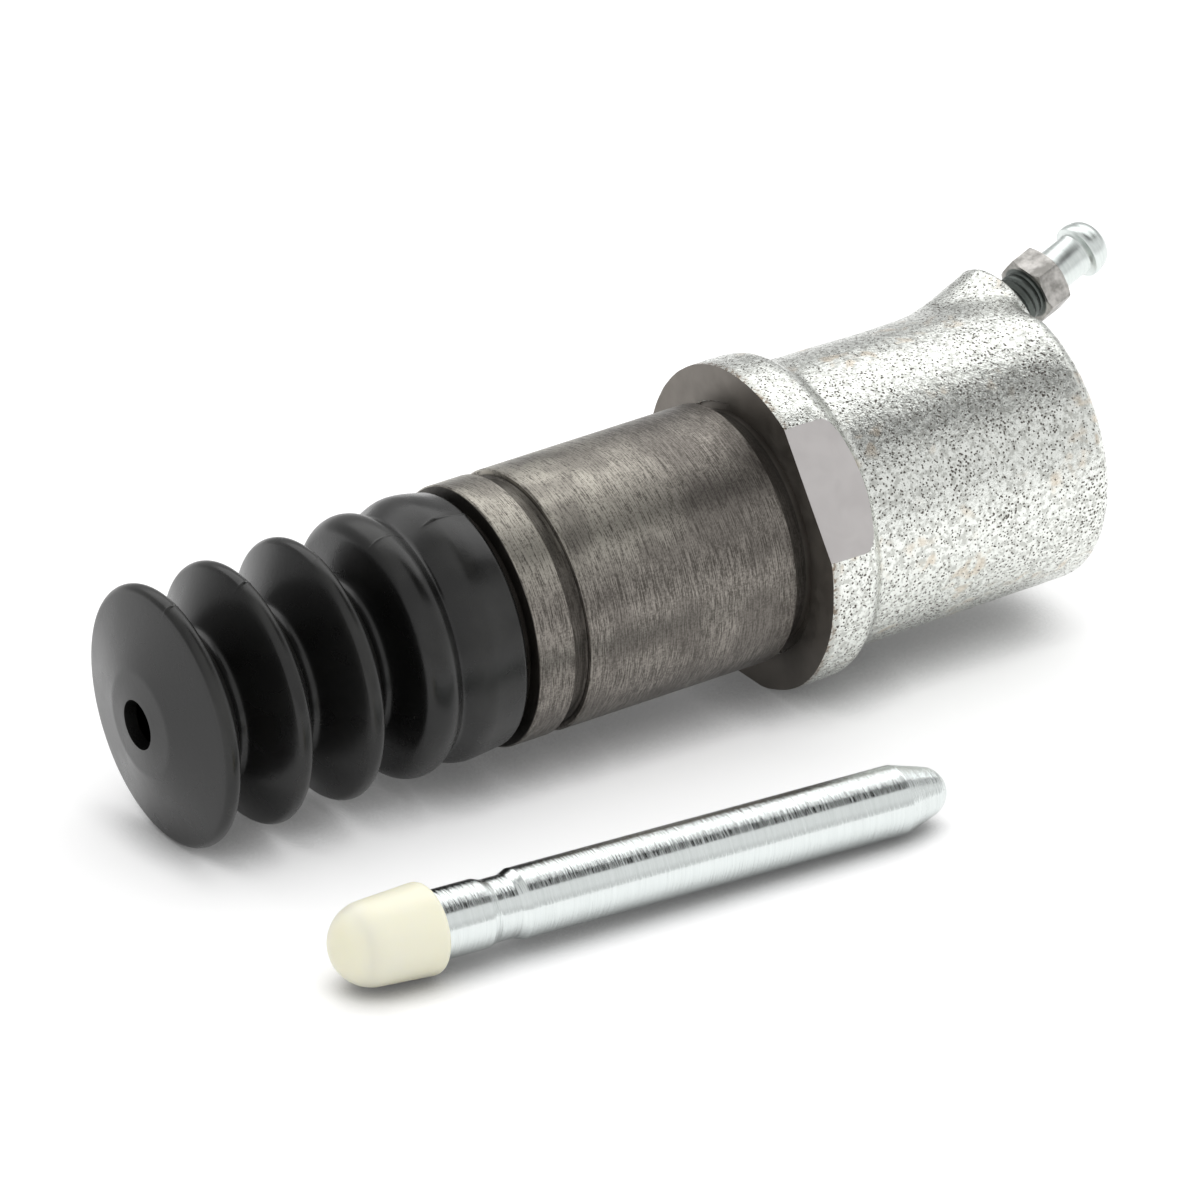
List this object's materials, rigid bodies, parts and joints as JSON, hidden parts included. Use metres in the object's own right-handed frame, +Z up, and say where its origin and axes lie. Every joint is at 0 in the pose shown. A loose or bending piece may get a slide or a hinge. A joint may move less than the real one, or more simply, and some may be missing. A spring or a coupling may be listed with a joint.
{
  "type": "clutch slave cylinder",
  "caption": "Hydraulic clutch slave cylinder with a round flange, rubber bellows boot and bleed screw, and its loose push rod with a nylon cap.",
  "frame": {"origin": "on the bore's axis, at the front face of the flange that seats on the bell housing", "axes": "+X along the bore from the boot to the rear port, -X the way the flange face looks, +Z up as the part lies on a table"},
  "size_m": [0.1707, 0.0834, 0.0478],
  "materials": {
    "cast_body": "zinc plated rough casting, turned dark grey at the barrel",
    "boot_rubber": "matte black moulded rubber",
    "ring_steel": "dark spring steel",
    "washer_steel": "plain stamped steel",
    "piston_alloy": "anodised and turned",
    "seal_rubber": "smooth black rubber",
    "seat_steel": "turned",
    "spring_steel": "drawn spring wire",
    "bleed_steel": "zinc plated nipple, dark phosphated hexagon and shank",
    "rod_steel": "zinc plated, with fine turning marks",
    "cap_nylon": "translucent ivory nylon"
  },
  "bodies": {
    "cylinder": {"cylinder_body": "cast_body", "dust_boot": "boot_rubber", "retaining_ring": "ring_steel", "stop_washer": "washer_steel", "return_spring": "spring_steel", "push_rod": "rod_steel", "push_rod_cap": "cap_nylon"},
    "piston": {"piston": "piston_alloy", "piston_seal": "seal_rubber", "spring_seat": "seat_steel"},
    "bleed_valve": {"bleed_screw": "bleed_steel"}
  },
  "joints": [
    {"name": "piston_slide", "type": "slide", "parent": "cylinder", "child": "piston", "axis": [1, 0, 0], "range_m": [0, 0.026], "stiffness_N_per_m": 1600, "springref_m": -0.0125, "deforming": ["return_spring"]},
    {"name": "bleed_screw_turn", "type": "hinge", "parent": "cylinder", "child": "bleed_valve", "pos_m": [0.0513, 0.00966, 0.01471], "axis": [0.9527, 0.1669, 0.2541], "range_deg": [0, 360]}
  ]
}
